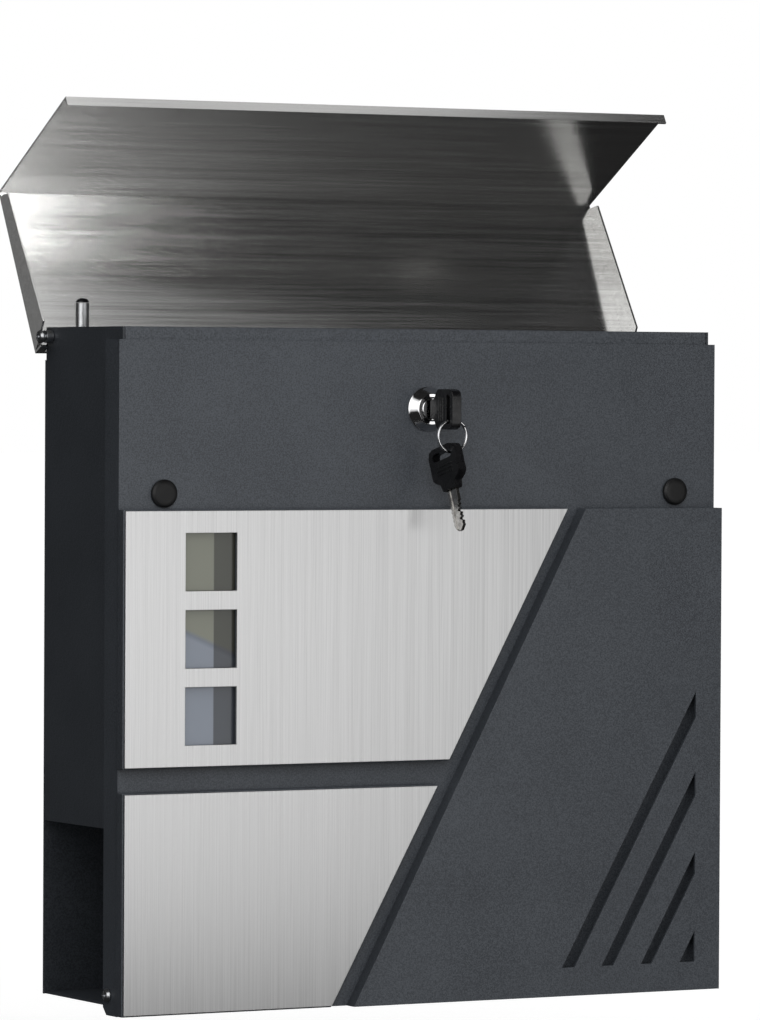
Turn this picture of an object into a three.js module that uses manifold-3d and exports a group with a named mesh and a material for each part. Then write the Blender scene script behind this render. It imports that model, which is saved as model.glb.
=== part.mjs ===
// Wall mounted mailbox: sheet-steel body, drop-front door with lock, open stainless lid.
// Millimetres, +Z up, front faces -Y, the wall side is the plane y = 0, x = 0 is the middle.
// Heights are counted from the underside of the bottom panel while drawing; every piece is then
// lowered by ORIGIN_Z, which puts the origin on the wall face.
// The lid is drawn in its open position, the door closed and the key in the lock.
import * as THREE from 'three';
import { mergeVertices } from 'three/addons/utils/BufferGeometryUtils.js';
import Module from 'manifold-3d';

const wasm = await Module();
wasm.setup();

// ---- driving dimensions -------------------------------------------------------------
const BODY_W = 360;             // across the two side panels
const BODY_D = 92;              // wall plane to the front of the top rail
const BODY_H = 356.5;           // underside of the bottom panel to the top edge
const SHEET = 1.2;              // body and door steel
const GAP = 0.3;                // space left between two pieces that touch
const PAST = 3;                 // how far a cutting tool runs past the sheet it cuts

const ORIGIN_Z = 170;
const BACK_TOP = 339;           // the back panel stops below the lid's swinging edge
const HOLE_R = 3;               // wall screw holes
const HOLE_X = 125;
const HOLE_ZS = [130, 310];

const PAPER_H = 93;             // height of the newspaper opening in each side
const POST_W = 16;              // strip of side panel left in front of that opening
const RETURN_W = 12;            // side panel's inward front return
const RAIL_H = 20;
const RAIL_TOP_W = 9;
const RAIL_CATCH_W = 14.1;      // lower flange of the rail, which the lock's cam swings behind
const FLOOR_LIP = 10;
const DRAIN_R = 2;              // drain holes in the bottom panel
const DRAIN_XS = [-120, -40, 40, 120];
const FOOT_NOTCH = 6;           // bottom panel cut away round the door's pivot nuts

const DOOR_OVER = 3;            // how far the door stands outside each side panel
const DOOR_FACE_Y = -(BODY_D + 2);
const DOOR_TOP = 349.7;
const DOOR_BOTTOM = -4;
const DOOR_FLANGE = 16;         // depth of the door's side flanges
const DOOR_CHAMFER = 4;
const DOOR_AXIS_Y = -84;
const DOOR_AXIS_Z = 6.5;
const DOOR_SWING_R = 8.4;       // nothing of the body's foot stands further from the door's axis
const FOOT_FRONT_Y = -88.4;     // front of the bottom panel

const PLATE_Y = DOOR_FACE_Y - 8.5;      // front of the steel plates and the raised panel
const PLATE_T = 1.2;
const TRAY_T = 1.5;
const TRAY_RIM = 1;             // the tray shows this much round its steel plate
const UPPER_PLATE = [[-183, 126.2], [11.5, 126.2], [84.5, 260.2], [-183, 260.2]];
const LOWER_PLATE = [[-183, -3], [-59.4, -3], [4.5, 112.4], [-183, 112.4]];
const RAISED_PANEL = [[-46, -4], [183, -4], [183, 260.2], [96, 260.2]];
const SLOT_RIGHT = 167;
const SLOT_BOTTOM = 11.5;
const SLOT_ANGLE_RUN = 84.5;    // sideways run of the first slot over its rise
const SLOT_ANGLE_RISE = 148;
const SLOTS = [                 // height at the right end: top corner, lower corner
  { top: 159.6, low: 145.5 },
  { top: 115.7, low: 102.5 },
  { top: 71.8, low: 59.6 },
  { top: 28.4, low: SLOT_BOTTOM },
];

const WINDOW_SIZE = 30.4;
const WINDOW_X = -132.6;
const WINDOW_ZS = [233.5, 193, 152.6];
const PANE_T = 2;
const PANE_EDGE = 6;            // pane beyond the windows all round
const DOOR_WINDOW = 36;         // matching larger holes in the door sheet

const BUMPER_X = 157;
const BUMPER_Z = 269.2;
const BUMPER_R = 7.4;
const BUMPER_H = 3.9;
const STEM_R = 2.5;
const STEM_IN = 3;              // bumper stem behind the door sheet

const LOCK_X = 1.4;
const LOCK_Z = 313.8;
const BEZEL_R = 12;
const BEZEL_H = 4.6;
const BARREL_R = 8.8;
const BARREL_BACK = 16;
const PLUG_R = 6.2;
const PLUG_FRONT = 6.3;         // plug face in front of the door
const CAM_LEN = 30;
const CAM_W = 13;
const CAM_T = 2;
const CAM_CORNER = 3;
const STUD_R = 3;               // end of the plug, which the cam fits over
const STUD_OUT = 0.6;
const LOCK_NUT_R = 13;
const LOCK_NUT_T = 4;

const BOW_T = 5.5;
const BOW_START = 2;            // key head ahead of the plug face
const BOW_L = 24;
const BOW_H = 21.5;
const BOW_NECK = 4.6;           // half width of the head at the blade
const BOW_POCKET = 4;           // blade's socket in the head
const BLADE_T = 2;
const BLADE_H = 7.4;
const BLADE_IN = 20.7;
const BLADE_CUTS = [0.4, 1.8, 0.8, 2.2, 1.2, 0.6];
const RING_R = 8.6;
const RING_WIRE_R = 0.75;
const RING_SLOT_R = 2.2;         // rounded slot across each key head
const RING_SLOT_U = 19;         // its distance from the neck
const RING_SLOT_V = 5.6;        // the ring hangs in one end of it
const KEY_2_TILT = 0.32;        // radians, tip towards the front, as its weight hangs it
const KEY_2_TURN = 0.21;        // radians about the vertical

const LID_OVER = 5.8;           // lid side flange outside the side panel
const LID_T = 1.2;
const LID_AXIS_Y = -8;
const LID_AXIS_Z = 351.5;
const LID_OPEN = THREE.MathUtils.degToRad(120.5);
const LID_REAR = [-4.4, 363.2];         // outer corners of the lid's section when closed
const LID_BEND = [-103, 358.6];
const LID_EDGE = [-103.4, 264];
const LID_LIP = 5.4;
const LID_REAR_FLANGE = 7.6;
const LID_SIDE_REAR = 16;       // depth of the side flange at the hinge end
const LID_SIDE_FRONT = 10;
const LID_SIDE_FREE = 3;        // side flange ends this far from the bend
const LID_SIDE_SLANT = 10;      // and its rear corner slants over this length
const LID_SIDE_HEEL = 2;
const LID_SLOT_W = 3.4;         // notch in the rear flange round each side panel

const DAMPER_X = -BODY_W / 2 + SHEET + 7.2;
const DAMPER_Y = -27.5;
const DAMPER_R = 3.6;
const DAMPER_TOP = 369.6;
const DAMPER_TUBE_R = 5;
const DAMPER_TUBE_TOP = 354;
const DAMPER_TUBE_L = 46;
const DAMPER_FLOOR = 3;         // closed end of the tube
const DAMPER_IN = 26;           // plunger inside the tube
const DAMPER_WEB = 7;           // half width of the web on the side panel
const DAMPER_WEB_LOW = 8;
const DAMPER_WEB_HIGH = 6;

const SCREW_HEAD_R = 3.6;
const SCREW_R = 1.9;
const SCREW_HEAD_H = 2.4;
const SCREW_IN = 5.2;           // screw tip and nut, inwards from the side panel's inner face
const NUT_IN = 3.6;
const NUT_R = 4;
const CROSS_REACH = 2.1;        // drive recess
const CROSS_HALF_W = 0.45;
const CROSS_DEPTH = 1.2;
const SPACER_R = 3.4;

// ---- colours ------------------------------------------------------------------------
const ANTHRACITE = { color: 0x3a3d40, roughness: 0.62, metalness: 0.2 };
const STAINLESS = { color: 0xc9c9c6, roughness: 0.32, metalness: 1 };
const CHROME = { color: 0xe4e4e6, roughness: 0.12, metalness: 1 };
const BLACK_PLASTIC = { color: 0x141414, roughness: 0.45, metalness: 0 };
const CLEAR_ACRYLIC = { color: 0x9aa0a0, roughness: 0.1, metalness: 0 };
const ZINC = { color: 0xb4b6b8, roughness: 0.35, metalness: 1 };

// ---- helpers ------------------------------------------------------------------------
function solid(geometry) {
  const bare = new THREE.BufferGeometry();
  bare.setAttribute('position', geometry.getAttribute('position').clone());
  if (geometry.index) bare.setIndex(geometry.index.clone());
  const merged = mergeVertices(bare, 1e-4);
  return new wasm.Manifold(new wasm.Mesh({
    numProp: 3,
    vertProperties: new Float32Array(merged.getAttribute('position').array),
    triVerts: new Uint32Array(merged.index.array),
  }));
}

function surface(manifold) {
  const mesh = manifold.getMesh();
  const geometry = new THREE.BufferGeometry();
  geometry.setAttribute('position', new THREE.BufferAttribute(mesh.vertProperties, 3));
  geometry.setIndex(new THREE.BufferAttribute(mesh.triVerts, 1));
  return geometry;
}

function union(parts) {
  return parts.reduce((sum, part) => sum.add(part));
}

function cut(base, tools) {
  return tools.reduce((left, tool) => left.subtract(tool), base);
}

function block(x0, x1, y0, y1, z0, z1) {
  const box = new THREE.BoxGeometry(x1 - x0, y1 - y0, z1 - z0);
  box.translate((x0 + x1) / 2, (y0 + y1) / 2, (z0 + z1) / 2);
  return solid(box);
}

function outline(points) {
  return new THREE.Shape(points.map(([u, v]) => new THREE.Vector2(u, v)));
}

function extrude(shape, depth, curveSegments = 12) {
  return new THREE.ExtrudeGeometry(shape, { depth, bevelEnabled: false, curveSegments });
}

// a flat shape drawn in x and z, filling y0 to y1
function frontSlab(shape, y0, y1) {
  const geometry = extrude(shape, y1 - y0);
  geometry.rotateX(Math.PI / 2);
  geometry.translate(0, y1, 0);
  return solid(geometry);
}

// a flat shape drawn in y and z, filling x0 to x1
function sideSlab(shape, x0, x1) {
  const geometry = extrude(shape, x1 - x0);
  const turn = new THREE.Matrix4().makeBasis(
    new THREE.Vector3(0, 1, 0),
    new THREE.Vector3(0, 0, 1),
    new THREE.Vector3(1, 0, 0),
  );
  geometry.applyMatrix4(turn);
  geometry.translate(x0, 0, 0);
  return solid(geometry);
}

// a turned piece: profile is radius and distance along its axis
function turned(profile, direction, at, segments = 32) {
  const points = profile.map(([radius, along]) => new THREE.Vector2(radius, along));
  const geometry = new THREE.LatheGeometry(points, segments);
  const up = new THREE.Vector3(0, 1, 0);
  geometry.applyQuaternion(new THREE.Quaternion().setFromUnitVectors(up, direction));
  geometry.translate(...at);
  return solid(geometry);
}

function rod(radius, from, to, direction, at, segments = 24) {
  return turned([[0, from], [radius, from], [radius, to], [0, to]], direction, at, segments);
}

const TO_RIGHT = new THREE.Vector3(1, 0, 0);
const TO_LEFT = new THREE.Vector3(-1, 0, 0);
const TO_BACK = new THREE.Vector3(0, 1, 0);
const TO_FRONT = new THREE.Vector3(0, -1, 0);
const UP = new THREE.Vector3(0, 0, 1);

// offset a convex outline outwards by a distance (inwards when negative)
function grown(points, distance) {
  const count = points.length;
  const lines = points.map(([x, z], i) => {
    const [nx, nz] = points[(i + 1) % count];
    const length = Math.hypot(nx - x, nz - z);
    const normal = [(nz - z) / length, -(nx - x) / length];
    return { normal, reach: normal[0] * x + normal[1] * z + distance };
  });
  return lines.map((line, i) => {
    const before = lines[(i + count - 1) % count];
    const [a, b] = before.normal;
    const [c, d] = line.normal;
    const det = a * d - b * c;
    return [
      (before.reach * d - b * line.reach) / det,
      (a * line.reach - before.reach * c) / det,
    ];
  });
}

const root = new THREE.Group();
root.name = 'wall_mounted_mailbox';

function piece(name, manifold, look) {
  const placed = surface(manifold.translate([0, 0, -ORIGIN_Z]));
  const mesh = new THREE.Mesh(placed, new THREE.MeshStandardMaterial(look));
  mesh.name = name;
  root.add(mesh);
}

function mirrored(manifold) {
  return manifold.mirror([1, 0, 0]);
}

// ---- body ---------------------------------------------------------------------------
const SIDE_X = BODY_W / 2;
const INNER_X = SIDE_X - SHEET;
const SIDE_BACK_Y = -(SHEET + GAP);

function backPanel() {
  const sheet = block(-SIDE_X, SIDE_X, -SHEET, 0, 0, BACK_TOP);
  const holes = [-HOLE_X, HOLE_X].flatMap((x) => HOLE_ZS.map(
    (z) => rod(HOLE_R, -2 * SHEET, SHEET, TO_BACK, [x, 0, z]),
  ));
  return cut(sheet, holes);
}

// the side panel's lower front corner, rounded about the door's axis so that the door clears it
function footCorner() {
  const from = Math.PI + Math.acos((BODY_D + DOOR_AXIS_Y) / DOOR_SWING_R);
  const to = Math.PI + Math.asin(DOOR_AXIS_Z / DOOR_SWING_R);
  const steps = 5;
  return Array.from({ length: steps + 1 }, (_, i) => {
    const angle = from + (to - from) * i / steps;
    return [DOOR_AXIS_Y + DOOR_SWING_R * Math.cos(angle), DOOR_AXIS_Z + DOOR_SWING_R * Math.sin(angle)];
  });
}

function sidePanel() {
  const postBack = -BODY_D + POST_W;
  const sheet = sideSlab(outline([
    ...footCorner(), [postBack, 0], [postBack, PAPER_H], [SIDE_BACK_Y, PAPER_H],
    [SIDE_BACK_Y, BODY_H], [-BODY_D, BODY_H],
  ]), -SIDE_X, -INNER_X);
  const innerReturn = block(
    -INNER_X - SHEET / 2, -INNER_X + RETURN_W, -BODY_D, -BODY_D + SHEET,
    SHEET + FLOOR_LIP + GAP, BODY_H - RAIL_H - GAP,
  );
  const screwHole = rod(
    SCREW_R + GAP, -PAST, PAST, TO_RIGHT, [-SIDE_X, LID_AXIS_Y, LID_AXIS_Z],
  );
  const pivotHole = rod(
    SCREW_R + GAP, -PAST, PAST, TO_RIGHT, [-SIDE_X, DOOR_AXIS_Y, DOOR_AXIS_Z],
  );
  return cut(sheet.add(innerReturn), [screwHole, pivotHole]);
}

function topRail() {
  const half = INNER_X - GAP;
  const front = block(-half, half, -BODY_D, -BODY_D + SHEET, BODY_H - RAIL_H, BODY_H);
  const top = block(-half, half, -BODY_D, -BODY_D + RAIL_TOP_W, BODY_H - SHEET, BODY_H);
  const catchFlange = block(
    -half, half, -BODY_D, -BODY_D + RAIL_CATCH_W, BODY_H - RAIL_H, BODY_H - RAIL_H + SHEET,
  );
  return union([front, top, catchFlange]);
}

function floorSheet(z) {
  const half = INNER_X - GAP;
  const front = -BODY_D + SHEET + GAP;
  const flat = block(-half, half, front, SIDE_BACK_Y, z, z + SHEET);
  const lip = block(-half, half, front, front + SHEET, z, z + FLOOR_LIP);
  return flat.add(lip);
}

function bottomPanel() {
  const half = INNER_X - GAP;
  const flat = block(-half, half, FOOT_FRONT_Y, SIDE_BACK_Y, 0, SHEET);
  const lip = block(-half, half, FOOT_FRONT_Y, FOOT_FRONT_Y + SHEET, 0, FLOOR_LIP);
  const clear = SCREW_HEAD_R + 1;
  const ends = [-1, 1].map((side) => block(
    side * half - FOOT_NOTCH, side * half + FOOT_NOTCH, -BODY_D, DOOR_AXIS_Y + clear,
    SHEET, DOOR_AXIS_Z + clear,
  ));
  const drains = DRAIN_XS.map(
    (x) => rod(DRAIN_R, -1, 2 * SHEET, UP, [x, -BODY_D / 2, 0], 16),
  );
  return cut(flat.add(lip), [...ends, ...drains]);
}

piece('back_panel', backPanel(), ANTHRACITE);
piece('left_side_panel', sidePanel(), ANTHRACITE);
piece('right_side_panel', mirrored(sidePanel()), ANTHRACITE);
piece('top_front_rail', topRail(), ANTHRACITE);
piece('compartment_floor', floorSheet(PAPER_H), ANTHRACITE);
piece('bottom_panel', bottomPanel(), ANTHRACITE);

// ---- pivot screws: head outside, nut inside -------------------------------------------
function crossScrew(outerX, tipX, y, z) {
  const length = Math.abs(tipX - outerX);
  const body = turned([
    [0, -SCREW_HEAD_H], [1.6, -SCREW_HEAD_H], [2.9, -SCREW_HEAD_H * 0.72],
    [SCREW_HEAD_R, -SCREW_HEAD_H * 0.2],
    [SCREW_HEAD_R, 0], [SCREW_R, 0], [SCREW_R, length], [0, length],
  ], TO_RIGHT, [outerX, y, z]);
  const front = outerX - 2 * SCREW_HEAD_H;
  const back = outerX - SCREW_HEAD_H + CROSS_DEPTH;
  const cross = [
    block(front, back, y - CROSS_REACH, y + CROSS_REACH, z - CROSS_HALF_W, z + CROSS_HALF_W),
    block(front, back, y - CROSS_HALF_W, y + CROSS_HALF_W, z - CROSS_REACH, z + CROSS_REACH),
  ];
  return cut(body, cross);
}

function hexNut(x0, x1, y, z, boreR) {
  const nut = rod(NUT_R, 0, x1 - x0, TO_RIGHT, [x0, y, z], 6);
  return nut.subtract(rod(boreR, -1, x1 - x0 + 1, TO_RIGHT, [x0, y, z]));
}

function tube(outerR, innerR, x0, x1, y, z) {
  const outer = rod(outerR, 0, x1 - x0, TO_RIGHT, [x0, y, z]);
  return outer.subtract(rod(innerR, -1, x1 - x0 + 1, TO_RIGHT, [x0, y, z]));
}

function bothSides(name, manifold, look) {
  piece(`left_${name}`, manifold, look);
  piece(`right_${name}`, mirrored(manifold), look);
}

const LID_OUT_X = -SIDE_X - LID_OVER;
const DOOR_OUT_X = -SIDE_X - DOOR_OVER;
bothSides('lid_screw', crossScrew(
  LID_OUT_X - GAP, -INNER_X + SCREW_IN, LID_AXIS_Y, LID_AXIS_Z,
), ZINC);
bothSides('lid_spacer', tube(
  SPACER_R, SCREW_R + GAP, LID_OUT_X + LID_T + GAP, -SIDE_X - GAP, LID_AXIS_Y, LID_AXIS_Z,
), ZINC);
bothSides('lid_nut', hexNut(
  -INNER_X + GAP, -INNER_X + NUT_IN, LID_AXIS_Y, LID_AXIS_Z, SCREW_R + GAP,
), ZINC);
bothSides('door_screw', crossScrew(
  DOOR_OUT_X - GAP, -INNER_X + SCREW_IN, DOOR_AXIS_Y, DOOR_AXIS_Z,
), ZINC);
bothSides('door_nut', hexNut(
  -INNER_X + GAP, -INNER_X + NUT_IN, DOOR_AXIS_Y, DOOR_AXIS_Z, SCREW_R + GAP,
), ZINC);

// ---- door -----------------------------------------------------------------------------
const RIVET_SPOTS = {
  upper_left_rivet: [-160, 252],
  upper_right_rivet: [60, 250],
  lower_left_rivet: [-160, 102],
  lower_right_rivet: [-20, 102],
  panel_left_rivet: [108, 250],
  panel_right_rivet: [158, 250],
};
const RIVET_R = 1.6;

function doorPan() {
  const outX = SIDE_X + DOOR_OVER;
  const face = block(-outX, outX, DOOR_FACE_Y, DOOR_FACE_Y + SHEET, DOOR_BOTTOM, DOOR_TOP);
  const backY = DOOR_FACE_Y + DOOR_FLANGE;
  const flange = sideSlab(outline([
    [DOOR_FACE_Y, DOOR_BOTTOM], [backY - DOOR_CHAMFER, DOOR_BOTTOM],
    [backY, DOOR_BOTTOM + DOOR_CHAMFER], [backY, DOOR_TOP], [DOOR_FACE_Y, DOOR_TOP],
  ]), -outX, -outX + SHEET);
  const hole = (radius, x, z) => rod(radius, -PAST, PAST, TO_BACK, [x, DOOR_FACE_Y, z], 32);
  const pivots = [-outX, outX].map(
    (x) => rod(SCREW_R + GAP, -PAST, PAST, TO_RIGHT, [x, DOOR_AXIS_Y, DOOR_AXIS_Z]),
  );
  const windows = WINDOW_ZS.map((z) => block(
    WINDOW_X - DOOR_WINDOW / 2, WINDOW_X + DOOR_WINDOW / 2,
    DOOR_FACE_Y - PAST, DOOR_FACE_Y + PAST, z - DOOR_WINDOW / 2, z + DOOR_WINDOW / 2,
  ));
  const rivets = Object.values(RIVET_SPOTS).map(([x, z]) => hole(RIVET_R + GAP, x, z));
  return cut(union([face, flange, mirrored(flange)]), [
    hole(BARREL_R + GAP, LOCK_X, LOCK_Z),
    hole(STEM_R + GAP, -BUMPER_X, BUMPER_Z),
    hole(STEM_R + GAP, BUMPER_X, BUMPER_Z),
    ...pivots, ...windows, ...rivets,
  ]);
}

// a shallow tray: a face with walls running back to the door
function tray(points, faceY, thickness) {
  const backY = DOOR_FACE_Y - GAP;
  const whole = frontSlab(outline(points), faceY, backY);
  const hollow = frontSlab(outline(grown(points, -thickness)), faceY + thickness, backY + 1);
  return whole.subtract(hollow);
}

function windowCuts() {
  const half = WINDOW_SIZE / 2;
  return WINDOW_ZS.map((z) => block(
    WINDOW_X - half, WINDOW_X + half, PLATE_Y - PAST, DOOR_FACE_Y - 1, z - half, z + half,
  ));
}

const TRAY_Y = PLATE_Y + PLATE_T + GAP;

function rivetBoss(x, z, faceY) {
  return rod(RIVET_R + 2, 0, DOOR_FACE_Y - GAP - faceY, TO_BACK, [x, faceY, z], 16);
}

function rivetBore(x, z, faceY) {
  return rod(RIVET_R + GAP, 0, 20, TO_BACK, [x, faceY, z], 16);
}

function bossed(manifold, names, faceY) {
  const spots = names.map((name) => RIVET_SPOTS[name]);
  const filled = union([manifold, ...spots.map(([x, z]) => rivetBoss(x, z, faceY))]);
  return cut(filled, spots.map(([x, z]) => rivetBore(x, z, faceY + TRAY_T)));
}

function slotShape({ top, low }) {
  const slope = SLOT_ANGLE_RUN / SLOT_ANGLE_RISE;
  const topLeft = [SLOT_RIGHT - (top - SLOT_BOTTOM) * slope, SLOT_BOTTOM];
  if (low <= SLOT_BOTTOM) {
    return [[SLOT_RIGHT, top], topLeft, [SLOT_RIGHT, SLOT_BOTTOM]];
  }
  const lowLeft = [SLOT_RIGHT - (low - SLOT_BOTTOM) * slope, SLOT_BOTTOM];
  return [[SLOT_RIGHT, top], topLeft, lowLeft, [SLOT_RIGHT, low]];
}

function raisedPanel() {
  const slots = SLOTS.map((slot) => frontSlab(
    outline(slotShape(slot)), PLATE_Y - PAST, PLATE_Y + PAST,
  ));
  const names = ['panel_left_rivet', 'panel_right_rivet'];
  return cut(bossed(tray(RAISED_PANEL, PLATE_Y, TRAY_T), names, PLATE_Y), slots);
}

piece('door_pan', doorPan(), ANTHRACITE);
piece('upper_tray', bossed(
  cut(tray(grown(UPPER_PLATE, TRAY_RIM - GAP), TRAY_Y, TRAY_T), windowCuts()),
  ['upper_left_rivet', 'upper_right_rivet'], TRAY_Y,
), ANTHRACITE);
piece('upper_steel_plate', cut(
  frontSlab(outline(UPPER_PLATE), PLATE_Y, PLATE_Y + PLATE_T), windowCuts(),
), STAINLESS);
piece('lower_tray', bossed(
  tray(grown(LOWER_PLATE, TRAY_RIM - GAP), TRAY_Y, TRAY_T),
  ['lower_left_rivet', 'lower_right_rivet'], TRAY_Y,
), ANTHRACITE);
piece('lower_steel_plate', frontSlab(
  outline(LOWER_PLATE), PLATE_Y, PLATE_Y + PLATE_T,
), STAINLESS);
piece('raised_panel', raisedPanel(), ANTHRACITE);

const PANE_Y = TRAY_Y + TRAY_T + GAP;
const PANE_HALF = WINDOW_SIZE / 2 + PANE_EDGE;
piece('window_pane', block(
  WINDOW_X - PANE_HALF, WINDOW_X + PANE_HALF, PANE_Y, PANE_Y + PANE_T,
  WINDOW_ZS[2] - PANE_HALF, WINDOW_ZS[0] + PANE_HALF,
), CLEAR_ACRYLIC);

for (const [name, [x, z]] of Object.entries(RIVET_SPOTS)) {
  const headY = DOOR_FACE_Y + SHEET + GAP;
  piece(name, turned([
    [0, -6], [RIVET_R, -6], [RIVET_R, 0], [RIVET_R + 1.5, 0],
    [RIVET_R + 1.1, 0.8], [0, 1.3],
  ], TO_BACK, [x, headY, z], 20), ZINC);
}

function bumper(x) {
  return turned([
    [0, -BUMPER_H], [4.2, -BUMPER_H], [6.4, -BUMPER_H + 0.7], [BUMPER_R, -BUMPER_H + 1.8],
    [BUMPER_R, -GAP], [STEM_R, -GAP], [STEM_R, SHEET + STEM_IN], [0, SHEET + STEM_IN + 0.6],
  ], TO_BACK, [x, DOOR_FACE_Y, BUMPER_Z]);
}
piece('left_bumper', bumper(-BUMPER_X), BLACK_PLASTIC);
piece('right_bumper', bumper(BUMPER_X), BLACK_PLASTIC);

// ---- lock -----------------------------------------------------------------------------
const LOCK = [LOCK_X, DOOR_FACE_Y, LOCK_Z];
const BORE_R = PLUG_R + GAP;

function lockHousing() {
  const face = -PLUG_FRONT + 0.5;
  const outer = turned([
    [0, face], [BARREL_R - 0.6, face], [BARREL_R, face + 0.6], [BEZEL_R - 0.8, -1.8],
    [BEZEL_R, -1], [BEZEL_R, -GAP], [BARREL_R, -GAP], [BARREL_R, BARREL_BACK],
    [0, BARREL_BACK],
  ], TO_BACK, LOCK, 48);
  return outer.subtract(rod(BORE_R, face - 1, BARREL_BACK + 1, TO_BACK, LOCK, 40));
}

function lockNut() {
  const from = SHEET + GAP;
  const to = from + LOCK_NUT_T;
  const nut = rod(LOCK_NUT_R, from, to, TO_BACK, LOCK, 6);
  return nut.subtract(rod(BARREL_R + GAP, 0, to + PAST, TO_BACK, LOCK, 48));
}

function lockPlug() {
  const end = BARREL_BACK + GAP;
  const plug = turned([
    [0, -PLUG_FRONT], [PLUG_R - 0.4, -PLUG_FRONT], [PLUG_R, -PLUG_FRONT + 0.4],
    [PLUG_R, end], [STUD_R, end], [STUD_R, end + CAM_T + STUD_OUT],
    [0, end + CAM_T + STUD_OUT],
  ], TO_BACK, LOCK, 40);
  const half = BLADE_T / 2 + GAP;
  const high = BLADE_H / 2 + GAP;
  const keyway = block(
    LOCK_X - half, LOCK_X + half, DOOR_FACE_Y - PLUG_FRONT - 1,
    DOOR_FACE_Y - PLUG_FRONT + BLADE_IN + 1, LOCK_Z - high, LOCK_Z + high,
  );
  return plug.subtract(keyway);
}

const CAM_Y = DOOR_FACE_Y + BARREL_BACK + 2 * GAP;

// the cam points sideways, clear of the rail: the lock is open
function cam() {
  const shape = new THREE.Shape();
  const half = CAM_W / 2;
  const end = LOCK_X + CAM_LEN;
  shape.absarc(LOCK_X, LOCK_Z, half, Math.PI / 2, Math.PI * 1.5, false);
  shape.lineTo(end - CAM_CORNER, LOCK_Z - half);
  shape.lineTo(end, LOCK_Z - half + CAM_CORNER);
  shape.lineTo(end, LOCK_Z + half - CAM_CORNER);
  shape.lineTo(end - CAM_CORNER, LOCK_Z + half);
  const blade = frontSlab(shape, CAM_Y, CAM_Y + CAM_T);
  return blade.subtract(rod(STUD_R + GAP, -PAST, PAST, TO_BACK, [LOCK_X, CAM_Y, LOCK_Z]));
}

piece('lock_housing', lockHousing(), CHROME);
piece('lock_nut', lockNut(), ZINC);
piece('lock_plug', lockPlug(), CHROME);
piece('lock_cam', cam(), ZINC);
const CAM_SCREW_Y = CAM_Y + CAM_T + STUD_OUT + GAP;
piece('cam_screw', turned([
  [0, 0], [5, 0], [5, 1.4], [3.6, 2.4], [0, 2.6],
], TO_BACK, [LOCK_X, CAM_SCREW_Y, LOCK_Z]), ZINC);

// ---- keys -----------------------------------------------------------------------------
const BOW_FRONT = DOOR_FACE_Y - PLUG_FRONT - BOW_START;
const HOLE_Y = BOW_FRONT - RING_SLOT_U;
const HOLE_Z = LOCK_Z - RING_SLOT_V;

// a key head lying in the y-z plane; u runs along the blade axis away from the tip
function bowOutline(length, height) {
  const h = height / 2;
  const upper = [
    [0, BOW_NECK], [4, BOW_NECK + 1.2], [6, h - 1.6], [8, h],
    [length - 4, h], [length - 1.2, h - 1.2], [length, h - 4],
  ];
  const lower = upper.map(([u, v]) => [u, -v]).reverse();
  return outline([...upper, ...lower]);
}

function bladeOutline(length) {
  const h = BLADE_H / 2;
  const root = 3;               // blade's end inside the head
  const points = [[root, -h], [-length + 3, -h], [-length, -h + 2.4], [-length, h - 2.8]];
  let u = -length + 2;
  for (const depth of BLADE_CUTS) {
    points.push([u, h - 0.2], [u + 1.2, h - depth], [u + 2, h - depth]);
    u += 2.8;
  }
  points.push([u, h], [root, h]);
  return outline(points);
}

function flatPiece(shape, thickness) {
  const geometry = extrude(shape, thickness);
  geometry.translate(0, 0, -thickness / 2);
  return geometry;
}

// local u -> `along`, local v -> `across`, thickness -> x
function placedFlat(shape, thickness, along, across, at) {
  const geometry = flatPiece(shape, thickness);
  const normal = new THREE.Vector3().crossVectors(along, across);
  geometry.applyMatrix4(new THREE.Matrix4().makeBasis(along, across, normal));
  geometry.translate(...at);
  return solid(geometry);
}

function ringSlotOutline() {
  const shape = new THREE.Shape();
  shape.absarc(RING_SLOT_U, RING_SLOT_V, RING_SLOT_R, 0, Math.PI, false);
  shape.absarc(RING_SLOT_U, -RING_SLOT_V, RING_SLOT_R, Math.PI, 2 * Math.PI, false);
  return shape;
}

function keyParts(along, across, neck) {
  const bow = placedFlat(bowOutline(BOW_L, BOW_H), BOW_T, along, across, neck);
  const high = BLADE_H / 2 + GAP;
  const pocket = placedFlat(outline([
    [-PAST, -high], [BOW_POCKET, -high], [BOW_POCKET, high], [-PAST, high],
  ]), BLADE_T + 2 * GAP, along, across, neck);
  const ringSlot = placedFlat(ringSlotOutline(), 2 * BOW_T, along, across, neck);
  const blade = placedFlat(bladeOutline(BLADE_IN + BOW_START), BLADE_T, along, across, neck);
  return { bow: cut(bow, [pocket, ringSlot]), blade };
}

const KEY_1_NECK = [LOCK_X, BOW_FRONT, LOCK_Z];
const key1 = keyParts(TO_FRONT, UP, KEY_1_NECK);
piece('key_1_bow', key1.bow, BLACK_PLASTIC);
piece('key_1_blade', key1.blade, CHROME);

const RING_Z = HOLE_Z - RING_R;
function ring() {
  const torus = new THREE.TorusGeometry(RING_R, RING_WIRE_R, 12, 48);
  torus.rotateX(Math.PI / 2);
  torus.translate(LOCK_X, HOLE_Y, RING_Z);
  return solid(torus);
}
piece('key_ring', ring(), CHROME);

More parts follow.
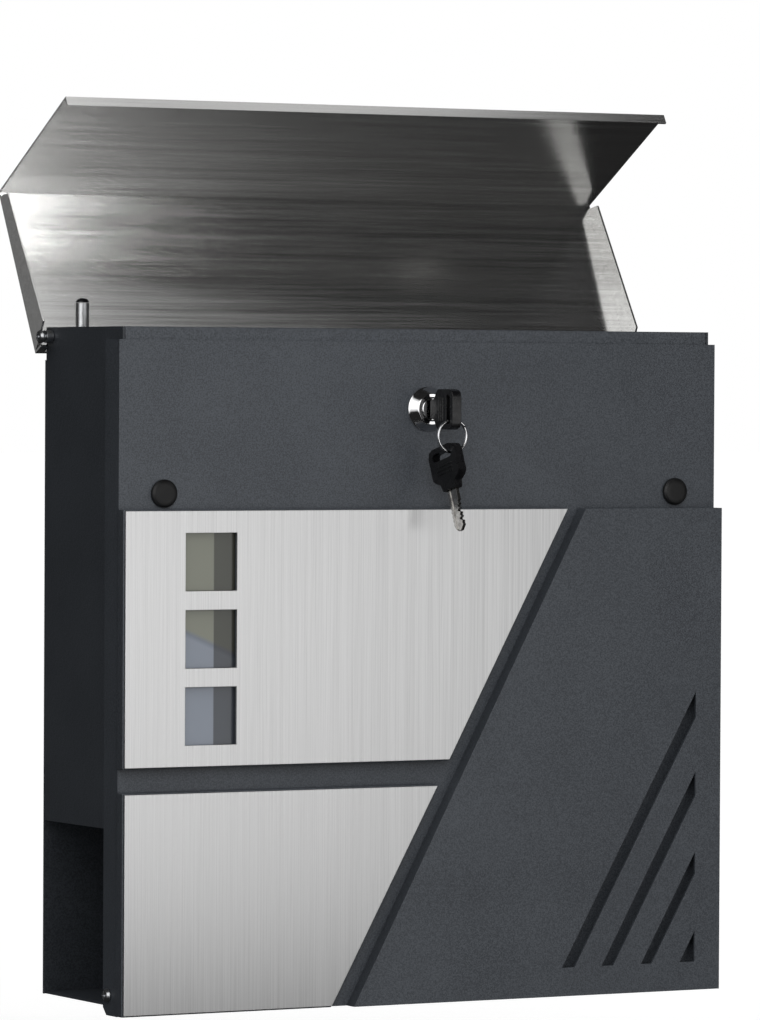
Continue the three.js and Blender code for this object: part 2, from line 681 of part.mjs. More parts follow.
// the spare key hangs tip down from the bottom of the ring
const SPARE_HOLE = [LOCK_X, HOLE_Y, RING_Z - RING_R];
const spareAlong = new THREE.Vector3(0, Math.sin(KEY_2_TILT), Math.cos(KEY_2_TILT))
  .applyAxisAngle(UP, KEY_2_TURN);
const spareAcross = new THREE.Vector3(0, -Math.cos(KEY_2_TILT), Math.sin(KEY_2_TILT))
  .applyAxisAngle(UP, KEY_2_TURN);
const spareNeck = new THREE.Vector3(...SPARE_HOLE)
  .addScaledVector(spareAlong, -RING_SLOT_U)
  .addScaledVector(spareAcross, -RING_SLOT_V);
const key2 = keyParts(spareAlong, spareAcross, spareNeck.toArray());
piece('key_2_bow', key2.bow, BLACK_PLASTIC);
piece('key_2_blade', key2.blade, CHROME);

// ---- lid ------------------------------------------------------------------------------
function unit([y0, z0], [y1, z1]) {
  const length = Math.hypot(y1 - y0, z1 - z0);
  return [(y1 - y0) / length, (z1 - z0) / length];
}

function moved([y, z], [dy, dz], distance) {
  return [y + dy * distance, z + dz * distance];
}

// the lid's section as an open band: rear flange, top, front and lip
function lidSection() {
  const along = unit(LID_REAR, LID_BEND);
  const down = [-along[1], along[0]];
  const outer = [
    moved(LID_REAR, down, LID_REAR_FLANGE), LID_REAR, LID_BEND, LID_EDGE,
    [LID_EDGE[0] + LID_LIP, LID_EDGE[1]],
  ];
  const rearIn = moved(moved(LID_REAR, down, LID_T), along, LID_T);
  const bendIn = [LID_BEND[0] + LID_T, LID_BEND[1] - LID_T * 1.05];
  const edgeIn = [LID_EDGE[0] + LID_T, LID_EDGE[1] + LID_T];
  const inner = [
    [LID_EDGE[0] + LID_LIP, LID_EDGE[1] + LID_T], edgeIn, bendIn, rearIn,
    moved(moved(LID_REAR, down, LID_REAR_FLANGE), along, LID_T),
  ];
  return { outer, inner, down, along };
}

function lidShell() {
  const { outer, inner, down, along } = lidSection();
  const half = SIDE_X + LID_OVER;
  const band = sideSlab(outline([...outer, ...inner]), -half, half);
  const rear = moved(LID_REAR, along, LID_T);
  const front = moved(LID_BEND, along, -LID_SIDE_FREE);
  const side = sideSlab(outline([
    moved(rear, down, LID_T / 2), moved(front, down, LID_T / 2),
    moved(moved(front, along, -LID_SIDE_FREE), down, LID_SIDE_FRONT),
    moved(moved(rear, along, LID_SIDE_SLANT), down, LID_SIDE_REAR),
    moved(moved(rear, along, LID_SIDE_HEEL), down, LID_SIDE_REAR - LID_SIDE_SLANT - 1),
  ]), -half, -half + LID_T);
  const pivot = rod(SCREW_R + GAP, -PAST, PAST, TO_RIGHT, [-half, LID_AXIS_Y, LID_AXIS_Z]);
  const notchX = INNER_X + SHEET / 2;
  const notch = [-notchX, notchX].map((x) => block(
    x - LID_SLOT_W / 2, x + LID_SLOT_W / 2, LID_REAR[0] - PAST, LID_REAR[0] + PAST,
    LID_REAR[1] - LID_REAR_FLANGE - PAST, LID_REAR[1] - LID_T,
  ));
  const closed = cut(union([band, side, mirrored(side)]), [pivot, mirrored(pivot), ...notch]);
  return closed
    .translate([0, -LID_AXIS_Y, -LID_AXIS_Z])
    .rotate([-THREE.MathUtils.radToDeg(LID_OPEN), 0, 0])
    .translate([0, LID_AXIS_Y, LID_AXIS_Z]);
}
piece('lid', lidShell(), STAINLESS);

// ---- lid damper -----------------------------------------------------------------------
const DAMPER = [DAMPER_X, DAMPER_Y, 0];

function damperTube() {
  const bottom = DAMPER_TUBE_TOP - DAMPER_TUBE_L;
  const outer = rod(DAMPER_TUBE_R, bottom, DAMPER_TUBE_TOP, UP, DAMPER, 28);
  const sideX = -INNER_X + GAP;
  const web = block(
    sideX, DAMPER_X, DAMPER_Y - DAMPER_WEB, DAMPER_Y + DAMPER_WEB,
    bottom + DAMPER_WEB_LOW, DAMPER_TUBE_TOP - DAMPER_WEB_HIGH,
  );
  const bore = rod(
    DAMPER_R + GAP, bottom + DAMPER_FLOOR, DAMPER_TUBE_TOP + PAST, UP, DAMPER, 28,
  );
  return union([outer, web]).subtract(bore);
}
piece('damper_tube', damperTube(), ZINC);
piece('damper_plunger', rod(
  DAMPER_R, DAMPER_TUBE_TOP - DAMPER_IN, DAMPER_TOP - GAP, UP, DAMPER, 28,
), CHROME);
piece('damper_cap', turned([
  [0, 0], [DAMPER_R, 0], [DAMPER_R * 0.94, 0.8], [DAMPER_R * 0.68, 1.7],
  [DAMPER_R * 0.3, 2.2], [0, 2.3],
], UP, [DAMPER_X, DAMPER_Y, DAMPER_TOP], 28), BLACK_PLASTIC);

export default root;
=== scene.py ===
"""Wall mounted mailbox with an open stainless lid: finishes, fine edges, keys, light, camera."""

import math

import bmesh
import bpy
from mathutils import Matrix, Vector


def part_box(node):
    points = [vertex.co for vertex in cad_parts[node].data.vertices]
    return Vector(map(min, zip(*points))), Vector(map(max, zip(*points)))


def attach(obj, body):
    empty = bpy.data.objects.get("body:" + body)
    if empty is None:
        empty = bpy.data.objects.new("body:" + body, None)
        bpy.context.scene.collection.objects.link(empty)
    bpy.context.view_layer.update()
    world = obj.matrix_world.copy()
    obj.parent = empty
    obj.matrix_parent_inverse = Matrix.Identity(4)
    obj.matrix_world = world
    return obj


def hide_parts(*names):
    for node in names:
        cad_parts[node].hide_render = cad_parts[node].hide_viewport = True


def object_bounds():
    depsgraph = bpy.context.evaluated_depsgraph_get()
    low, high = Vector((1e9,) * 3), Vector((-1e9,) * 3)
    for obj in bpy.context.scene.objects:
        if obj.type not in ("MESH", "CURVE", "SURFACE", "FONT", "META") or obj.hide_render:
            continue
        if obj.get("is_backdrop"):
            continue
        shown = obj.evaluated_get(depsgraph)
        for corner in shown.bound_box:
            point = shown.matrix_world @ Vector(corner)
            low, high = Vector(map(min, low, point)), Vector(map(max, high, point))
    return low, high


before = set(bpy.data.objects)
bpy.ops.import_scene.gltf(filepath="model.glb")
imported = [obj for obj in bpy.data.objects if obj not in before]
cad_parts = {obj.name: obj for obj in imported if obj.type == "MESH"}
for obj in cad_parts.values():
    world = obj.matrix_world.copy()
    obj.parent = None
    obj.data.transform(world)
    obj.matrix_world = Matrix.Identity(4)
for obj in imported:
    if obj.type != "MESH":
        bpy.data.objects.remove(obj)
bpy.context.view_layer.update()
MM = 0.001

# ---- camera: looking from the front left, a little above the middle ----------------------
VIEW_AZIMUTH = math.radians(29.147)  # camera stands this far to the left of straight ahead
VIEW_DROP = math.radians(1.123)
VIEW_ROLL = math.radians(0.296)
VIEW_DISTANCE = 3331.5 * MM
LOOK_AT_FROM_BODY = Vector((-3, -4, 80.7)) * MM  # from the middle of the body's box
LENS = 217.2
SENSOR = 36.0

# ---- light -----------------------------------------------------------------------------
BACKGROUND = (1, 1, 1, 1)
DOME_BRIGHT_WAY = Vector((0.30, -0.45, 0.84)).normalized()
DOME_LEVELS = (0.15, 1.35)  # facing away from that way, and facing it
ROOM_LEVELS = (0.022, 0.012)
WINDOW_WAY = Vector((-0.78, -0.55, 0.30)).normalized()  # a bright window in reflections
WINDOW_LEVEL = 2.2
FLOOR_DROP = 60 * MM
FLOOR_SIZE = 60.0
FLOOR_GLOW = 0.30
FLOOR_LIGHT = (0.93, 0.93, 0.93)
FLOOR_DARK = (0.90, 0.90, 0.90)
FACING = (-0.5, 1.0)  # the two ends of the levels above, as the cosine to the bright way
WINDOW_SPREAD = (0.80, 0.93)  # cosines where the window's glow starts and is full
LID_MIDDLE = (-0.15, 0.0, 0.25)

# ---- finishes: noise scales count waves per metre ------------------------------------------
SPECK_SCALE = 1300  # powder paint
PEEL_SCALE = 480
MOTTLE_SCALE = 22
SPECK_SHARE = 0.88  # the rest of its shade is mottle
PAINT_RELIEF = 0.18 * MM
SCRATCH_SCALE = 1300  # brushed steel, across and along its grain
SCRATCH_SCALE_ALONG = 12
BAND_SCALE = 260
BAND_SCALE_ALONG = 3
SCRATCH_SHARE = 0.6
STEEL_RELIEF = 0.02 * MM
MARKS_PER_CLOUD = 9  # plain metals
SMEAR_SCALE = 180  # plastic and rubber
PLASTIC_RELIEF = 0.05 * MM
DUST_SCALE = 260  # window pane
# painted shade: right of this line the pane's colour is darkened, standing in for the shade of the
# window's inner wall
PANE_SHADE_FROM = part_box("window_pane")[0].x + 24 * MM
PANE_SHADE_BLEND = 0.5 * MM
PANE_SHADE_LEVEL = 0.28
# painted light: the inside lit through the open lid, seen through the pane, warmer above a slanted
# line and bluer below
PANE_TOP = (0.29, 0.30, 0.24)
PANE_MIDDLE = (0.22, 0.25, 0.31)
PANE_FOOT = (0.32, 0.36, 0.43)
PANE_SLOPE = 0.43
PANE_BLEND = 5 * MM

# ---- keys --------------------------------------------------------------------------------
BLADE_L = 22.7 * MM
BLADE_H = 7.4 * MM
BLADE_T = 2 * MM
BLADE_CUTS = [depth * MM for depth in (0.6, 1.9, 1.0, 2.2, 1.4, 0.8)]
TIP_HEIGHTS = [(0.9 * MM, -1.1 * MM), (2.1 * MM, -2.6 * MM)]  # top and bottom at two places
TIP_SLOPE = 1.2 * MM
FIRST_CUT = 2.6 * MM  # from the tip
CUT_STEP = 2.3 * MM
CUT_SLOPE = 0.9 * MM
CUT_END = 1.5 * MM
PEAK_WORN = 0.25 * MM
HEEL_WORN = 0.4 * MM
BLADE_IN_HEAD = 3 * MM
BACK_GROOVE = (-1.9 * MM, -0.7 * MM)  # lower and upper edge
FRONT_GROOVE = (0.1 * MM, 1.2 * MM)
GROOVE_DEPTH = 0.55 * MM
GROOVE_RIM = 0.2 * MM  # least metal above and below a groove
BLADE_EDGE = 0.12 * MM
BOW_T = 5.5 * MM
RIB_PLACES = [9.6 * MM, 11.6 * MM, 13.6 * MM]
RIB_HALF_L = 6.5 * MM
RIB_HALF_W = 0.45 * MM
RIB_PROUD = 0.35 * MM
RIB_EDGE = 0.3 * MM
RING_SLOT_U = 19 * MM  # from a key's neck to its ring slot, and along the slot to its end
RING_SLOT_V = 5.6 * MM
SPARE_TILT = 0.32
SPARE_TURN = 0.21
RING_TURNS = 2.12
RING_STEPS = 56  # per turn
RING_SIDES = 10  # of the wire
RING_START = 0.6
RING_WIRE_SHARE = 0.86  # wire's thickness over the CAD ring's

# ---- edges -------------------------------------------------------------------------------
SHEET_EDGE = 0.55 * MM  # bend radius of the folded sheets
PLATE_EDGE = 0.22 * MM
PLASTIC_EDGE = 0.7 * MM
METAL_EDGE = 0.15 * MM
LID_EDGE = 0.4 * MM
RUBBER_EDGE = 0.3 * MM
WELD_REACH = 0.002 * MM
FLAT_ANGLE = math.radians(0.5)  # faces closer to flat than this become one face
SHARP_ANGLE = math.radians(28)  # corners sharper than this are rounded


# ---- shader helpers ------------------------------------------------------------------------
def add(tree, kind, inputs=None, **settings):
    """A new shader node; an input given a socket is linked to it, any other input is set."""
    made = tree.nodes.new(kind)
    for name, value in settings.items():
        setattr(made, name, value)
    for name, value in (inputs or {}).items():
        if isinstance(value, bpy.types.NodeSocket):
            tree.links.new(value, made.inputs[name])
        else:
            made.inputs[name].default_value = value
    return made


def start_material(name):
    material = bpy.data.materials.new(name)
    material.use_nodes = True
    tree = material.node_tree
    shader = tree.nodes["Principled BSDF"]
    place = add(tree, "ShaderNodeTexCoord").outputs["Object"]
    return material, tree, shader, place


def stretched(tree, place, scale):
    return add(tree, "ShaderNodeMapping", {"Vector": place, "Scale": scale}).outputs["Vector"]


def noise(tree, vector, scale=1.0, detail=2.0, rough=0.5):
    inputs = {"Vector": vector, "Scale": scale, "Detail": detail, "Roughness": rough}
    return add(tree, "ShaderNodeTexNoise", inputs).outputs["Fac"]


def span(tree, value, low, high, from_low=0.3, from_high=0.7):
    inputs = {
        "Value": value,
        "From Min": from_low,
        "From Max": from_high,
        "To Min": low,
        "To Max": high,
    }
    return add(tree, "ShaderNodeMapRange", inputs).outputs["Result"]


def calc(tree, operation, a, b):
    return add(tree, "ShaderNodeMath", {0: a, 1: b}, operation=operation).outputs[0]


def blend(tree, first, second, share):
    """The first value by its share, and the second by the rest."""
    part = calc(tree, "MULTIPLY", first, share)
    rest = calc(tree, "MULTIPLY", second, 1 - share)
    return calc(tree, "ADD", part, rest)


def ramp(tree, value, stops):
    made = add(tree, "ShaderNodeValToRGB", {"Fac": value})
    elements = made.color_ramp.elements
    while len(elements) < len(stops):
        elements.new(0.5)
    for element, (position, colour) in zip(elements, stops):
        element.position = position
        element.color = (*colour, 1)
    return made.outputs["Color"]


def bump(tree, shader, height, strength, distance):
    inputs = {"Height": height, "Strength": strength, "Distance": distance}
    made = add(tree, "ShaderNodeBump", inputs)
    tree.links.new(made.outputs["Normal"], shader.inputs["Normal"])


def drive(tree, shader, **sockets):
    for name, value in sockets.items():
        tree.links.new(value, shader.inputs[name.replace("_", " ")])


def settle(shader, **values):
    for name, value in values.items():
        shader.inputs[name.replace("_", " ")].default_value = value


# ---- finishes --------------------------------------------------------------------------------
def powder_coat(name, light, dark):
    """Fine textured powder paint: specks of two greys over a slow mottle."""
    material, tree, shader, place = start_material(name)
    speck = noise(tree, place, scale=SPECK_SCALE, detail=3, rough=0.65)
    mottle = noise(tree, place, scale=MOTTLE_SCALE, detail=3)
    peel = noise(tree, place, scale=PEEL_SCALE, detail=2)
    shade = blend(tree, speck, mottle, SPECK_SHARE)
    drive(
        tree,
        shader,
        Base_Color=ramp(tree, shade, [(0.40, dark), (0.60, light)]),
        Roughness=span(tree, speck, 0.40, 0.56),
    )
    grain = calc(tree, "ADD", peel, calc(tree, "MULTIPLY", speck, 0.5))
    bump(tree, shader, grain, 0.6, PAINT_RELIEF)
    settle(shader, Specular_IOR_Level=0.42)
    return material


def brushed_steel(name, along, light, dark, rough, stretch):
    """Stainless sheet brushed along "x" or "z": long fine scratches over wider bands."""
    material, tree, shader, place = start_material(name)
    scratch_scale = [SCRATCH_SCALE] * 3
    band_scale = [BAND_SCALE] * 3
    axis = "xyz".index(along)
    scratch_scale[axis] = SCRATCH_SCALE_ALONG
    band_scale[axis] = BAND_SCALE_ALONG
    scratch = noise(tree, stretched(tree, place, scratch_scale), detail=3, rough=0.65)
    band = noise(tree, stretched(tree, place, band_scale), detail=3, rough=0.6)
    streak = blend(tree, scratch, band, SCRATCH_SHARE)
    drive(
        tree,
        shader,
        Base_Color=ramp(tree, streak, [(0.35, dark), (0.65, light)]),
        Roughness=span(tree, streak, rough - 0.05, rough + 0.06),
    )
    bump(tree, shader, streak, 0.1, STEEL_RELIEF)
    across = add(tree, "ShaderNodeCombineXYZ", {"X": 1.0}).outputs["Vector"]
    tree.links.new(across, shader.inputs["Tangent"])
    settle(
        shader,
        Metallic=1.0,
        Anisotropic=stretch,
        Anisotropic_Rotation={"x": 0.25, "z": 0.0}[along],
    )
    return material


def plain_metal(name, light, dark, rough, grain):
    """Plated or cast metal with a cloudy tone and small marks."""
    material, tree, shader, place = start_material(name)
    cloud = noise(tree, place, scale=grain, detail=4)
    mark = noise(tree, place, scale=grain * MARKS_PER_CLOUD, detail=2)
    drive(
        tree,
        shader,
        Base_Color=ramp(tree, cloud, [(0.35, dark), (0.65, light)]),
        Roughness=span(tree, mark, rough * 0.75, rough * 1.3),
    )
    bump(tree, shader, mark, 0.06, STEEL_RELIEF)
    settle(shader, Metallic=1.0)
    return material


def moulded(name, light, dark, rough, grain):
    """Moulded plastic or rubber with a fine matt texture."""
    material, tree, shader, place = start_material(name)
    texture = noise(tree, place, scale=grain, detail=3)
    smear = noise(tree, place, scale=SMEAR_SCALE, detail=3)
    drive(
        tree,
        shader,
        Base_Color=ramp(tree, smear, [(0.35, dark), (0.65, light)]),
        Roughness=span(tree, smear, rough - 0.07, rough + 0.1),
    )
    bump(tree, shader, texture, 0.2, PLASTIC_RELIEF)
    return material


def acrylic(name):
    """Clear sheet painted with light and shade: a view of the lit inside, warmer at its top, and
    painted shade that leaves it paler over its left part only; with a film of dust.
    """
    material, tree, shader, place = start_material(name)
    low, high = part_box("window_pane")
    axes = add(tree, "ShaderNodeSeparateXYZ", {"Vector": place}).outputs
    slant = calc(tree, "ADD", axes["Z"], calc(tree, "MULTIPLY", axes["X"], PANE_SLOPE))
    start = (low.z + high.z) / 2 + PANE_SLOPE * (low.x + high.x) / 2
    above = span(tree, slant, 0.0, 1.0, start - PANE_BLEND, start)
    # painted light of the lit inside, warmer at the top and bluer at the foot
    painted_inside_light = ramp(tree, above, [(0.0, PANE_FOOT), (0.5, PANE_MIDDLE), (1.0, PANE_TOP)])
    # painted shade: the colour is scaled down over the pane's right part
    shade_until = PANE_SHADE_FROM + PANE_SHADE_BLEND
    painted_shade = span(tree, axes["X"], 1.0, PANE_SHADE_LEVEL, PANE_SHADE_FROM, shade_until)
    shade = add(tree, "ShaderNodeVectorMath", {0: painted_inside_light, "Scale": painted_shade}, operation="SCALE")
    dust = noise(tree, place, scale=DUST_SCALE, detail=5)
    roughness = span(tree, dust, 0.05, 0.16)
    drive(tree, shader, Base_Color=shade.outputs["Vector"], Roughness=roughness)
    settle(shader, Transmission_Weight=0.3, IOR=1.49)
    return material


ANTHRACITE = powder_coat(
    "anthracite_powder_coat", light=(0.060, 0.068, 0.079), dark=(0.028, 0.032, 0.039)
)
PLATE_STEEL = brushed_steel(
    "vertical_brushed_steel",
    along="z",
    light=(0.76, 0.76, 0.76),
    dark=(0.56, 0.56, 0.56),
    rough=0.33,
    stretch=0.75,
)
LID_STEEL = brushed_steel(
    "lid_brushed_steel",
    along="x",
    light=(0.90, 0.90, 0.89),
    dark=(0.66, 0.655, 0.645),
    rough=0.19,
    stretch=0.5,
)
CHROME = plain_metal(
    "chrome_plate", light=(0.86, 0.86, 0.87), dark=(0.74, 0.74, 0.75), rough=0.09, grain=90
)
KEY_STEEL = plain_metal(
    "nickel_key", light=(0.52, 0.51, 0.49), dark=(0.32, 0.31, 0.30), rough=0.2, grain=400
)
ZINC = plain_metal(
    "zinc_plate", light=(0.66, 0.67, 0.68), dark=(0.44, 0.45, 0.47), rough=0.3, grain=500
)
SATIN = plain_metal(
    "satin_tube", light=(0.68, 0.69, 0.70), dark=(0.56, 0.57, 0.58), rough=0.36, grain=300
)
BLACK_PLASTIC = moulded(
    "black_plastic", light=(0.009, 0.009, 0.010), dark=(0.004, 0.004, 0.005), rough=0.26, grain=2600
)
BLACK_RUBBER = moulded(
    "black_rubber", light=(0.010, 0.010, 0.011), dark=(0.005, 0.005, 0.005), rough=0.5, grain=1800
)
ACRYLIC = acrylic("clear_acrylic")


# ---- CAD pieces: finish and fine edges ----------------------------------------------------------
def dress(names, material, edge, segments=3):
    """Gives CAD nodes a finish and rounds their edges by that radius."""
    for name in names:
        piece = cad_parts[name]
        piece.data.materials.clear()
        piece.data.materials.append(material)
        weld = piece.modifiers.new("weld", "WELD")
        weld.merge_threshold = WELD_REACH
        planar = piece.modifiers.new("planar", "DECIMATE")
        planar.decimate_type = "DISSOLVE"
        planar.angle_limit = FLAT_ANGLE
        rounded = piece.modifiers.new("edges", "BEVEL")
        rounded.width = edge
        rounded.segments = segments
        rounded.limit_method = "ANGLE"
        rounded.angle_limit = SHARP_ANGLE
        normals = piece.modifiers.new("normals", "WEIGHTED_NORMAL")
        normals.weight = 100
        piece.data.shade_smooth()


def both(*names):
    return [f"{side}_{name}" for side in ("left", "right") for name in names]


dress(["back_panel", *both("side_panel"), "bottom_panel"], ANTHRACITE, SHEET_EDGE)
dress(["top_front_rail", "compartment_floor"], ANTHRACITE, SHEET_EDGE)
dress(["door_pan", "upper_tray", "lower_tray", "raised_panel"], ANTHRACITE, SHEET_EDGE)
dress(["upper_steel_plate", "lower_steel_plate"], PLATE_STEEL, PLATE_EDGE, 2)
dress(["lid"], LID_STEEL, LID_EDGE)
dress(["window_pane"], ACRYLIC, PLATE_EDGE, 2)
dress(["lock_housing", "lock_plug"], CHROME, METAL_EDGE, 2)
dress(["key_1_bow", "key_2_bow"], BLACK_PLASTIC, PLASTIC_EDGE, 4)
dress(both("bumper"), BLACK_RUBBER, RUBBER_EDGE)
dress(["damper_tube", "damper_plunger"], SATIN, METAL_EDGE, 2)
dress(["damper_cap"], BLACK_PLASTIC, METAL_EDGE, 2)
dress(both("lid_screw", "lid_spacer", "lid_nut", "door_screw", "door_nut"), ZINC, METAL_EDGE, 2)
dress(["lock_nut", "lock_cam", "cam_screw"], ZINC, METAL_EDGE, 2)
dress([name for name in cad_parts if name.endswith("_rivet")], ZINC, METAL_EDGE, 2)


# ---- keys and their ring: finer shapes than the CAD ones -------------------------------------
def mesh_piece(name, points, faces, material, body, slot):
    mesh = bpy.data.meshes.new(name)
    mesh.from_pydata(points, [], faces)
    mesh.materials.append(material)
    made = bpy.data.objects.new(name, mesh)
    bpy.context.scene.collection.objects.link(made)
    shape = bmesh.new()
    shape.from_mesh(mesh)
    bmesh.ops.recalc_face_normals(shape, faces=shape.faces)
    shape.to_mesh(mesh)
    shape.free()
    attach(made, body)
    return made


def soften(piece, width, segments):
    edges = piece.modifiers.new("edges", "BEVEL")
    edges.width = width
    edges.segments = segments


def loft(sections):
    """Points and faces of a closed body through sections that have the same number of points."""
    count = len(sections[0])
    points = [point for section in sections for point in section]
    faces = []
    for start in range(0, len(points) - count, count):
        for j in range(count):
            k = (j + 1) % count
            faces.append((start + j, start + k, start + count + k, start + count + j))
    faces.append(tuple(range(count)))
    faces.append(tuple(range(len(points) - 1, len(points) - count - 1, -1)))
    return points, faces


def split_ring():
    """Two turns of wire side by side; returns the ring's lowest point, where the spare key hangs."""
    low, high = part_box("key_ring")
    middle = (low + high) / 2
    wire = (high.y - low.y) / 2 * RING_WIRE_SHARE
    radius = (high.x - low.x) / 2 - wire
    spread = 2 * wire * (RING_TURNS - 1)
    around = [2 * math.pi * j / RING_SIDES for j in range(RING_SIDES)]
    steps = int(RING_TURNS * RING_STEPS)
    sections = []
    for i in range(steps + 1):
        angle = 2 * math.pi * i / RING_STEPS + RING_START
        out = Vector((math.cos(angle), 0, math.sin(angle)))
        centre = middle + out * radius + Vector((0, (i / steps - 0.5) * spread, 0))
        sections.append([
            centre + out * wire * math.cos(a) + Vector((0, wire * math.sin(a), 0)) for a in around
        ])
    ring = mesh_piece("split_ring", *loft(sections), CHROME, "ring", "chrome")
    ring.data.shade_smooth()
    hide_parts("key_ring")
    return middle - Vector((0, 0, radius))


def blade_heights():
    """Places along the blade from its tip, each with the top and bottom of the blade there."""
    half = BLADE_H / 2
    heights = [(-BLADE_L + i * TIP_SLOPE, *ends) for i, ends in enumerate(TIP_HEIGHTS)]
    along = -BLADE_L + FIRST_CUT
    for depth in BLADE_CUTS:
        heights.append((along, half - PEAK_WORN, -half + HEEL_WORN))
        heights.append((along + CUT_SLOPE, half - depth, -half))
        heights.append((along + CUT_END, half - depth, -half))
        along += CUT_STEP
    heights.append((along, half, -half))
    heights.append((BLADE_IN_HEAD, half, -half))
    return heights


def blade_section(along, top, bottom):
    """One section across the blade, with a milled groove in its back and one in its front."""
    thick = BLADE_T / 2
    floor = thick - GROOVE_DEPTH
    back, front = (
        [max(min(edge, top - GROOVE_RIM), bottom + GROOVE_RIM) for edge in groove]
        for groove in (BACK_GROOVE, FRONT_GROOVE)
    )
    back_side = [(bottom, -thick), (back[0], -thick), (back[0], -floor), (back[1], -floor)]
    back_top = [(back[1], -thick), (top, -thick)]
    front_side = [(top, thick), (front[1], thick), (front[1], floor), (front[0], floor)]
    front_foot = [(front[0], thick), (bottom, thick)]
    outline = back_side + back_top + front_side + front_foot
    return [Vector((along, across, out)) for across, out in outline]


def grooved_blade(number, body, place):
    sections = [[place @ point for point in blade_section(*spot)] for spot in blade_heights()]
    blade = mesh_piece(f"key_{number}_grooved_blade", *loft(sections), KEY_STEEL, body, "chrome")
    soften(blade, BLADE_EDGE, 2)
    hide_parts(f"key_{number}_blade")


def head_ribs(number, body, place):
    reach = BOW_T / 2 + RIB_PROUD
    for i, along in enumerate(RIB_PLACES):
        low = along - RIB_HALF_W
        high = along + RIB_HALF_W
        corners = [(low, -RIB_HALF_L), (high, -RIB_HALF_L), (high, RIB_HALF_L), (low, RIB_HALF_L)]
        ends = [[place @ Vector((u, v, out)) for u, v in corners] for out in (-reach, reach)]
        name = f"key_{number}_rib_{i + 1}"
        rib = mesh_piece(name, *loft(ends), BLACK_PLASTIC, body, "black_plastic")
        soften(rib, RIB_EDGE, 3)


def key_detail(number, body, neck, along, across):
    """A grooved blade in place of the CAD one, and moulded ribs through both faces of the head."""
    place = Matrix((along, across, along.cross(across))).transposed().to_4x4()
    place.translation = neck
    grooved_blade(number, body, place)
    head_ribs(number, body, place)


def keys():
    spare_hole = split_ring()
    low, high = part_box("key_1_bow")
    neck = Vector(((low.x + high.x) / 2, high.y, (low.z + high.z) / 2))
    key_detail(1, "key", neck, Vector((0, -1, 0)), Vector((0, 0, 1)))
    turn = Matrix.Rotation(SPARE_TURN, 3, "Z")
    along = turn @ Vector((0, math.sin(SPARE_TILT), math.cos(SPARE_TILT)))
    across = turn @ Vector((0, -math.cos(SPARE_TILT), math.sin(SPARE_TILT)))
    spare_neck = spare_hole - along * RING_SLOT_U - across * RING_SLOT_V
    key_detail(2, "spare_key", spare_neck, along, across)


keys()


# ---- stage -------------------------------------------------------------------------------------
def pale_floor():
    low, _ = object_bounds()
    bpy.ops.mesh.primitive_plane_add(size=FLOOR_SIZE, location=(0, 0, low.z - FLOOR_DROP))
    floor = bpy.context.object
    floor.name = "floor"
    material, tree, shader, place = start_material("pale_floor")
    tone = noise(tree, place, scale=3, detail=3)
    drive(tree, shader, Base_Color=ramp(tree, tone, [(0.3, FLOOR_DARK), (0.7, FLOOR_LIGHT)]))
    settle(shader, Roughness=0.9, Specular_IOR_Level=0.0)
    settle(shader, Emission_Color=BACKGROUND, Emission_Strength=FLOOR_GLOW)
    floor.data.materials.append(material)
    floor.visible_diffuse = False  # the floor takes shadows and lends the object no light
    floor.visible_glossy = False
    floor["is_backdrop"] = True


def only_on(lamp, nodes, state="INCLUDE"):
    """The lamp lights just these CAD nodes, or with "EXCLUDE" everything else."""
    group = bpy.data.collections.new(f"{lamp.name}_{state.lower()}")
    for node in nodes:
        group.objects.link(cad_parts[node])
    for entry in group.collection_objects:
        entry.light_linking.link_state = state
    lamp.light_linking.receiver_collection = group


def softbox(name, centre, target, width, height, power):
    data = bpy.data.lights.new(name, "AREA")
    data.shape = "RECTANGLE"
    data.size = width
    data.size_y = height
    data.energy = power
    lamp = bpy.data.objects.new(name, data)
    lamp.location = centre
    aim = Vector(target) - Vector(centre)
    lamp.rotation_mode = "QUATERNION"
    lamp.rotation_quaternion = aim.to_track_quat("-Z", "Y")
    bpy.context.scene.collection.objects.link(lamp)
    return lamp


def toward(tree, direction, way):
    """Cosine of the angle between a direction and the given way."""
    inputs = {0: direction, 1: way}
    return add(tree, "ShaderNodeVectorMath", inputs, operation="DOT_PRODUCT").outputs["Value"]


def glow(tree, strength):
    return add(tree, "ShaderNodeBackground", {"Strength": strength}).outputs[0]


def choose(tree, chance, no, yes):
    return add(tree, "ShaderNodeMixShader", {0: chance, 1: no, 2: yes}).outputs[0]


def studio_world():
    """White behind the object; an even dome for the floor and paint; a dark room in reflections."""
    world = bpy.data.worlds.new("studio")
    bpy.context.scene.world = world
    world.use_nodes = True
    tree = world.node_tree
    tree.nodes.clear()
    direction = add(tree, "ShaderNodeTexCoord").outputs["Generated"]
    facing = toward(tree, direction, DOME_BRIGHT_WAY)
    window = span(tree, toward(tree, direction, WINDOW_WAY), 0.0, WINDOW_LEVEL, *WINDOW_SPREAD)
    dome = glow(tree, span(tree, facing, *DOME_LEVELS, *FACING))
    room = glow(tree, calc(tree, "ADD", span(tree, facing, *ROOM_LEVELS, *FACING), window))
    white = add(tree, "ShaderNodeBackground", {"Color": BACKGROUND}).outputs[0]
    path = add(tree, "ShaderNodeLightPath").outputs
    lit = choose(tree, path["Is Glossy Ray"], dome, room)
    shown = choose(tree, path["Is Camera Ray"], lit, white)
    add(tree, "ShaderNodeOutputWorld", {"Surface": shown})


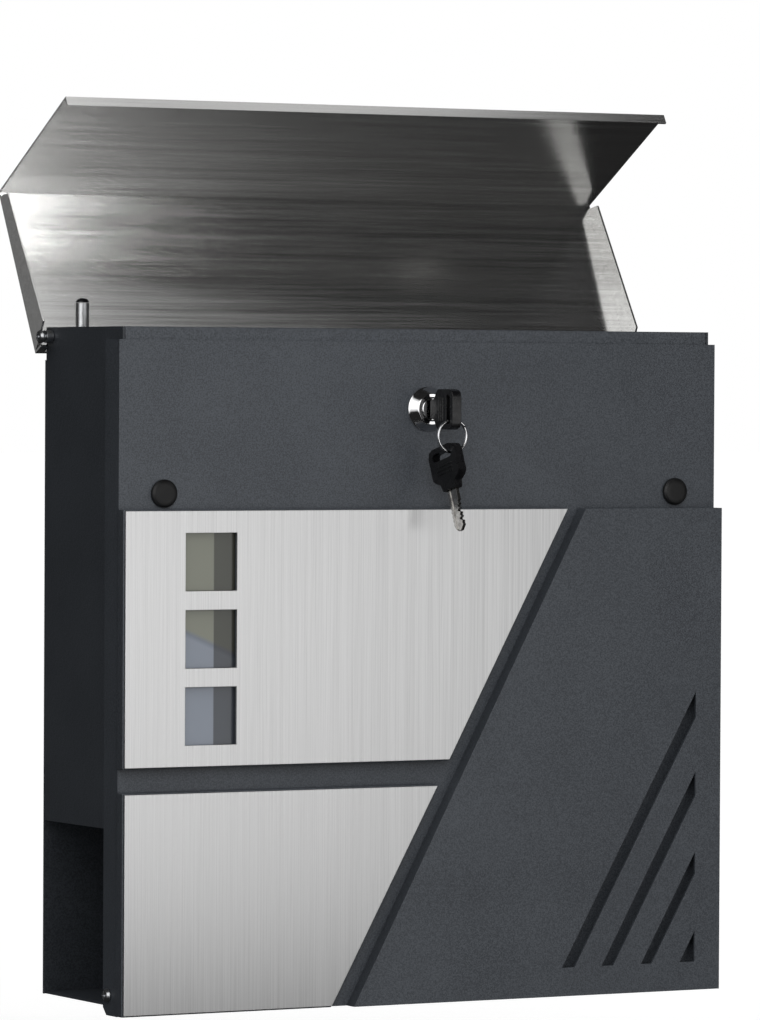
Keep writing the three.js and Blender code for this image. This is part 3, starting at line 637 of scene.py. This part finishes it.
def camera():
    low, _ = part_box("left_side_panel")
    _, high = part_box("right_side_panel")
    target = (low + high) / 2 + LOOK_AT_FROM_BODY
    ahead = Vector((
        math.sin(VIEW_AZIMUTH) * math.cos(VIEW_DROP),
        math.cos(VIEW_AZIMUTH) * math.cos(VIEW_DROP),
        -math.sin(VIEW_DROP),
    ))
    right = Vector((math.cos(VIEW_AZIMUTH), -math.sin(VIEW_AZIMUTH), 0))
    up = right.cross(ahead)
    rolled_right = right * math.cos(VIEW_ROLL) + up * math.sin(VIEW_ROLL)
    rolled_up = up * math.cos(VIEW_ROLL) - right * math.sin(VIEW_ROLL)
    turn = Matrix((rolled_right, rolled_up, -ahead)).transposed()
    data = bpy.data.cameras.new("camera")
    data.lens = LENS
    data.sensor_width = SENSOR
    made = bpy.data.objects.new("camera", data)
    made.matrix_world = Matrix.Translation(target - ahead * VIEW_DISTANCE) @ turn.to_4x4()
    bpy.context.scene.collection.objects.link(made)
    bpy.context.scene.camera = made


def body_lights():
    front = softbox(
        "front_box", (0.20, -1.35, 0.00), (0.0, -0.1, 0.0), width=1.20, height=0.60, power=3.2
    )
    only_on(front, ["lid"], "EXCLUDE")
    left = softbox(
        "left_box", (-0.36, -0.78, 0.30), (-0.15, -0.1, 0.05), width=0.24, height=0.40, power=2.3
    )
    painted = ["door_pan", "top_front_rail", "raised_panel", "upper_tray", "lower_tray"]
    only_on(left, painted)


def lid_lights():
    """Boxes that draw the lid's soft reflections and light nothing else."""
    boxes = [
        softbox(
            "lid_front_box", (0.31, -1.40, 0.35), LID_MIDDLE, width=0.30, height=0.26, power=4.2
        ),
        softbox(
            "lid_top_box", (0.08, -0.40, 0.84), (-0.15, 0.0, 0.22), width=0.18, height=0.34, power=0.11
        ),
        softbox(
            "lid_side_box", (-0.74, 0.92, 0.22), (-0.20, 0.05, 0.2), width=0.5, height=0.5, power=0.13
        ),
        softbox(
            "lip_box", (0.35, -0.42, 1.05), (0.1, -0.04, 0.30), width=0.6, height=0.16, power=0.22
        ),
    ]
    for box in boxes:
        only_on(box, ["lid"])


pale_floor()
studio_world()
body_lights()
lid_lights()
camera()
bpy.context.scene.view_settings.view_transform = "Standard"
